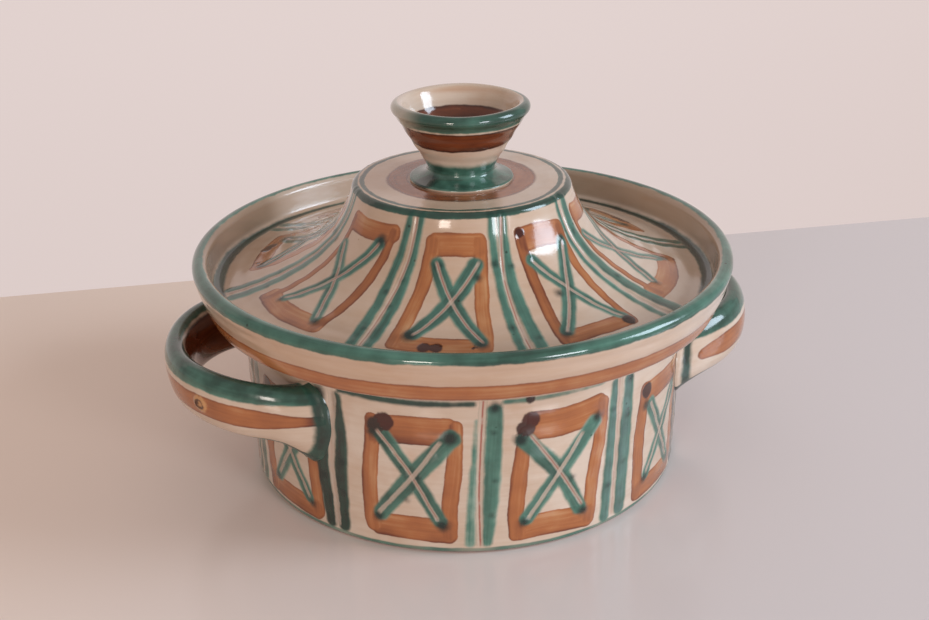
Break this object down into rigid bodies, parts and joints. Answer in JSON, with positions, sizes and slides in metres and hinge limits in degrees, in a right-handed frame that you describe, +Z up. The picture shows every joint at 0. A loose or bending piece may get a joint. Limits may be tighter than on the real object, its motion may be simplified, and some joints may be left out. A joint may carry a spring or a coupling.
{
  "type": "tagine pot",
  "caption": "Low round earthenware pot with loop handles and a lift-off flared lid with an upturned rim, flat top and hollow cup-shaped knob.",
  "frame": {"origin": "on the table, under the middle of the pot", "axes": "+Z up, +X through the middles of the two handles towards the right handle, +Y towards the back"},
  "size_m": [0.2946, 0.26, 0.1796],
  "materials": {
    "pot_glaze": "glossy cream tin glaze over red earthenware, brushed by hand with rust-brown frames, green crosses and green bands",
    "handle_glaze": "glossy cream glaze with a green top, a rust-brown band round the outside and a green line below",
    "lid_glaze": "glossy cream tin glaze with rust-brown frames, green crosses, green bands and a brown band round the rim",
    "knob_glaze": "glossy glaze in bands: green lip, dark rust-brown, cream, and a green waist and foot"
  },
  "bodies": {
    "pot": {"pot_body": "pot_glaze", "handle_left": "handle_glaze", "handle_right": "handle_glaze"},
    "lid": {"lid_shell": "lid_glaze", "lid_locating_ring": "lid_glaze", "lid_knob": "knob_glaze"}
  },
  "joints": [
    {"name": "lid_lift", "type": "slide", "parent": "pot", "child": "lid", "axis": [0, 0, 1], "range_m": [0, 0.15]}
  ]
}
